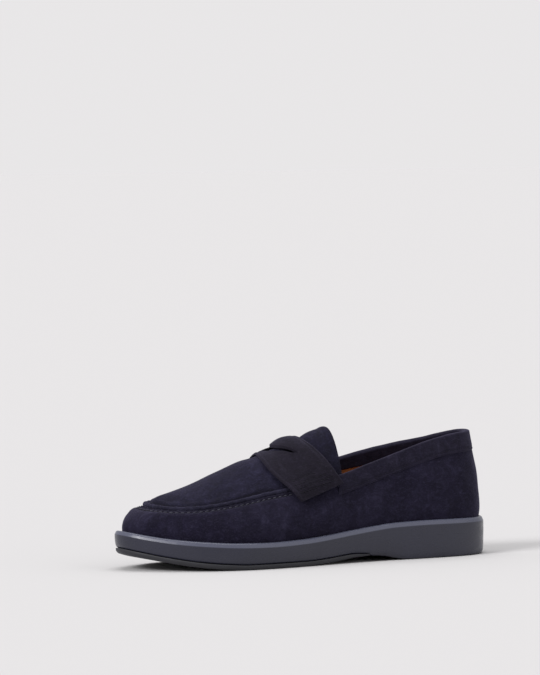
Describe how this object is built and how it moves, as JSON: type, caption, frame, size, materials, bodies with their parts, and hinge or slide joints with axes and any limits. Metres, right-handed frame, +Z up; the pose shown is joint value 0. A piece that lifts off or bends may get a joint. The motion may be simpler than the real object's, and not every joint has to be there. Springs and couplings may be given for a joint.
{
  "type": "penny loafer",
  "caption": "Slip-on suede shoe, left foot, with a raised-seam apron, a slotted saddle strap and a moulded rubber cup sole with separate treads.",
  "frame": {"origin": "on the ground, under the middle of the outsole's length and width", "axes": "-X to the toe, +X to the heel, +Y to the medial (inner) side, +Z up"},
  "size_m": [0.3, 0.1089, 0.1002],
  "materials": {
    "suede_navy": "soft napped suede, dark navy, matt",
    "suede_navy_strap": "soft napped suede, dark navy to charcoal, matt",
    "thread_navy": "waxed thread, dark navy",
    "sole_rubber": "moulded rubber, smooth satin, slate blue",
    "tread_rubber": "rubber, matt, dark grey",
    "lining_leather": "smooth lining leather, tan",
    "sock_leather": "smooth sock leather, tan",
    "foam": "open cell foam, off white",
    "insole_board_fibre": "cellulose board, brown",
    "filler_felt": "pressed felt, grey",
    "shank_steel": "spring steel strip",
    "stiffener_fibre": "thermoplastic fibre stiffener, beige"
  },
  "bodies": {
    "root": {"cup_sole": "sole_rubber", "forefoot_outsole": "tread_rubber", "heel_outsole": "tread_rubber", "heel_cushion": "foam", "bottom_filler": "filler_felt", "shank": "shank_steel", "insole_board": "insole_board_fibre", "footbed_foam": "foam", "sock_lining": "sock_leather", "upper_wall": "suede_navy", "apron": "suede_navy", "apron_piping": "suede_navy", "apron_thread": "thread_navy", "saddle_strap": "suede_navy_strap", "strap_thread_lateral": "thread_navy", "strap_thread_medial": "thread_navy", "collar_band": "suede_navy", "collar_foam": "foam", "quarter_lining": "lining_leather", "vamp_lining": "lining_leather", "tongue_lining": "lining_leather", "heel_counter": "stiffener_fibre", "toe_puff": "stiffener_fibre"}
  },
  "joints": []
}
